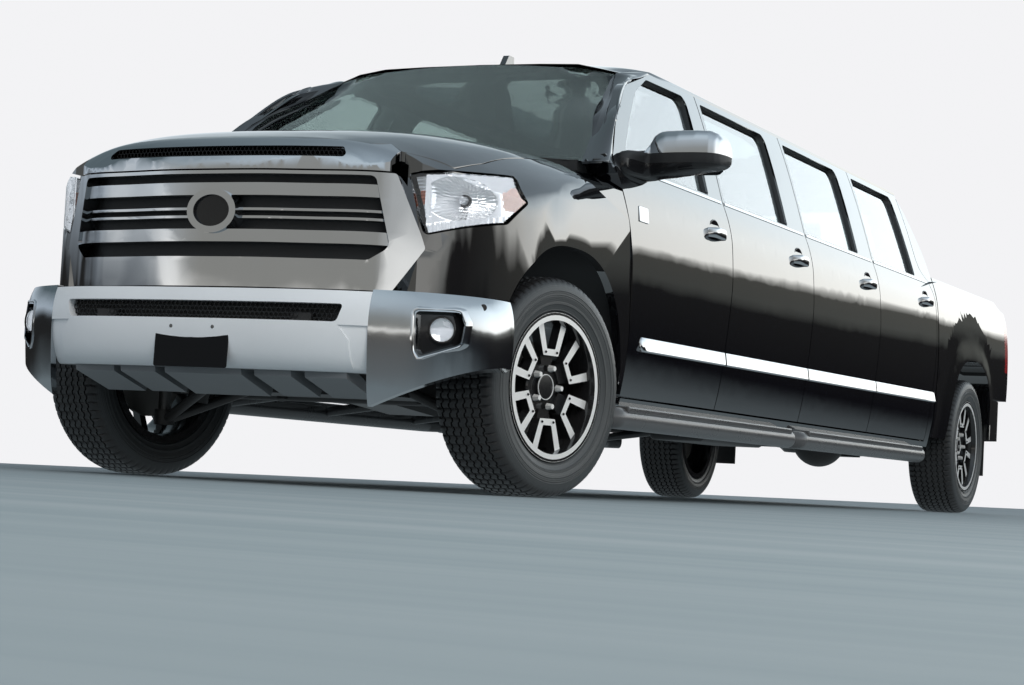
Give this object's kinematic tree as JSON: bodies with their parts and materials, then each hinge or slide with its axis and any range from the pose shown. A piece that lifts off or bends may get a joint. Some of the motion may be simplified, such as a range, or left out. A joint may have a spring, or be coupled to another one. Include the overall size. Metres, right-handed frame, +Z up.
{
  "type": "stretch limousine",
  "caption": "Pickup-based stretch limousine with opening doors, hood and tailgate, steering front wheels and a short open load bed.",
  "frame": {"origin": "on the ground, in the middle of the overall length and width", "axes": "+X towards the front of the vehicle, +Y to its left, +Z up"},
  "size_m": [8, 2.5756, 1.935],
  "materials": {
    "black_paint": "gloss black clear-coated paint",
    "chrome": "polished chrome",
    "satin_silver": "satin silver paint",
    "black_plastic": "grained black plastic",
    "dark_steel": "black chassis paint",
    "bare_metal": "cast metal",
    "exhaust_steel": "dull steel",
    "tyre_rubber": "tyre rubber",
    "wheel_alloy": "machined and black two-tone alloy",
    "lamp_clear": "clear lens over a reflector",
    "lamp_red": "red lens",
    "window_glass": "dark tinted glass",
    "trim_fabric": "dark carpet and headlining",
    "seat_leather": "dark leather"
  },
  "bodies": {
    "chassis": {"bed": "black_paint", "bumper_centre": "satin_silver", "bumper_corners": "chrome", "cab_floor": "trim_fabric", "cab_roof": "black_paint", "cab_sides": "black_paint", "cowl": "black_plastic", "dashboard": "black_plastic", "exhaust": "exhaust_steel", "fixed_glass": "window_glass", "fog_lamps": "black_plastic", "frame": "dark_steel", "front_carrier": "dark_steel", "front_fenders": "black_paint", "front_suspension": "dark_steel", "fuel_tank": "black_plastic", "grille": "chrome", "grille_mesh": "black_plastic", "headlamps": "lamp_clear", "powertrain": "bare_metal", "rear_axle": "dark_steel", "rear_bumper": "chrome", "seats": "seat_leather", "side_steps": "black_plastic", "spare_wheel": "tyre_rubber", "tail_lamps": "lamp_red", "tow_bar": "dark_steel", "wheel_liners": "black_plastic"},
    "hood": {"hood": "black_paint", "hood_nose": "chrome"},
    "tailgate": {"tailgate": "black_paint"},
    "door_left_1": {"door_left_1": "black_paint", "glass_left_1": "window_glass", "mirror_left": "chrome"},
    "door_left_2": {"door_left_2": "black_paint", "glass_left_2": "window_glass"},
    "door_left_3": {"door_left_3": "black_paint", "glass_left_3": "window_glass"},
    "door_left_4": {"door_left_4": "black_paint", "glass_left_4": "window_glass"},
    "steering_left": {"knuckle_left": "bare_metal"},
    "wheel_front_left": {"rim_front_left": "wheel_alloy", "tyre_front_left": "tyre_rubber"},
    "wheel_rear_left": {"rim_rear_left": "wheel_alloy", "tyre_rear_left": "tyre_rubber"},
    "door_right_1": {"door_right_1": "black_paint", "glass_right_1": "window_glass", "mirror_right": "chrome"},
    "door_right_2": {"door_right_2": "black_paint", "glass_right_2": "window_glass"},
    "door_right_3": {"door_right_3": "black_paint", "glass_right_3": "window_glass"},
    "door_right_4": {"door_right_4": "black_paint", "glass_right_4": "window_glass"},
    "steering_right": {"knuckle_right": "bare_metal"},
    "wheel_front_right": {"rim_front_right": "wheel_alloy", "tyre_front_right": "tyre_rubber"},
    "wheel_rear_right": {"rim_rear_right": "wheel_alloy", "tyre_rear_right": "tyre_rubber"}
  },
  "joints": [
    {"name": "hood_hinge", "type": "hinge", "parent": "chassis", "child": "hood", "pos_m": [2.683, 0, 1.326], "axis": [0, -1, 0], "range_deg": [0, 50]},
    {"name": "tailgate_hinge", "type": "hinge", "parent": "chassis", "child": "tailgate", "pos_m": [-3.92, 0, 0.824], "axis": [0, -1, 0], "range_deg": [0, 90]},
    {"name": "door_left_1_hinge", "type": "hinge", "parent": "chassis", "child": "door_left_1", "pos_m": [2.565, 0.993, 0.9], "axis": [0, 0, -1], "range_deg": [0, 66]},
    {"name": "door_left_2_hinge", "type": "hinge", "parent": "chassis", "child": "door_left_2", "pos_m": [1.348, 0.993, 0.9], "axis": [0, 0, -1], "range_deg": [0, 66]},
    {"name": "door_left_3_hinge", "type": "hinge", "parent": "chassis", "child": "door_left_3", "pos_m": [0.193, 0.993, 0.9], "axis": [0, 0, -1], "range_deg": [0, 66]},
    {"name": "door_left_4_hinge", "type": "hinge", "parent": "chassis", "child": "door_left_4", "pos_m": [-0.962, 0.993, 0.9], "axis": [0, 0, -1], "range_deg": [0, 66]},
    {"name": "door_right_1_hinge", "type": "hinge", "parent": "chassis", "child": "door_right_1", "pos_m": [2.565, -0.993, 0.9], "axis": [0, 0, 1], "range_deg": [0, 66]},
    {"name": "door_right_2_hinge", "type": "hinge", "parent": "chassis", "child": "door_right_2", "pos_m": [1.348, -0.993, 0.9], "axis": [0, 0, 1], "range_deg": [0, 66]},
    {"name": "door_right_3_hinge", "type": "hinge", "parent": "chassis", "child": "door_right_3", "pos_m": [0.193, -0.993, 0.9], "axis": [0, 0, 1], "range_deg": [0, 66]},
    {"name": "door_right_4_hinge", "type": "hinge", "parent": "chassis", "child": "door_right_4", "pos_m": [-0.962, -0.993, 0.9], "axis": [0, 0, 1], "range_deg": [0, 66]},
    {"name": "steer_left", "type": "hinge", "parent": "chassis", "child": "steering_left", "pos_m": [3.035, 0.742, 0.403], "axis": [0, 0, 1], "range_deg": [-21.76, 46.24]},
    {"name": "steer_right", "type": "hinge", "parent": "chassis", "child": "steering_right", "pos_m": [3.035, -0.742, 0.403], "axis": [0, 0, 1], "range_deg": [-21.76, 46.24]},
    {"name": "spin_front_left", "type": "hinge", "parent": "steering_left", "child": "wheel_front_left", "pos_m": [3.06055, 0.85976, 0.403], "axis": [0.212, 0.9773, 0], "continuous": true},
    {"name": "spin_rear_left", "type": "hinge", "parent": "chassis", "child": "wheel_rear_left", "pos_m": [-2.965, 0.8625, 0.403], "axis": [0, 1, 0], "continuous": true},
    {"name": "spin_front_right", "type": "hinge", "parent": "steering_right", "child": "wheel_front_right", "pos_m": [3.00945, -0.85976, 0.403], "axis": [0.212, 0.9773, 0], "continuous": true},
    {"name": "spin_rear_right", "type": "hinge", "parent": "chassis", "child": "wheel_rear_right", "pos_m": [-2.965, -0.8625, 0.403], "axis": [0, 1, 0], "continuous": true}
  ],
  "couplings": [
    {"joint": "steer_right", "follows": "steer_left", "ratio": 1}
  ]
}
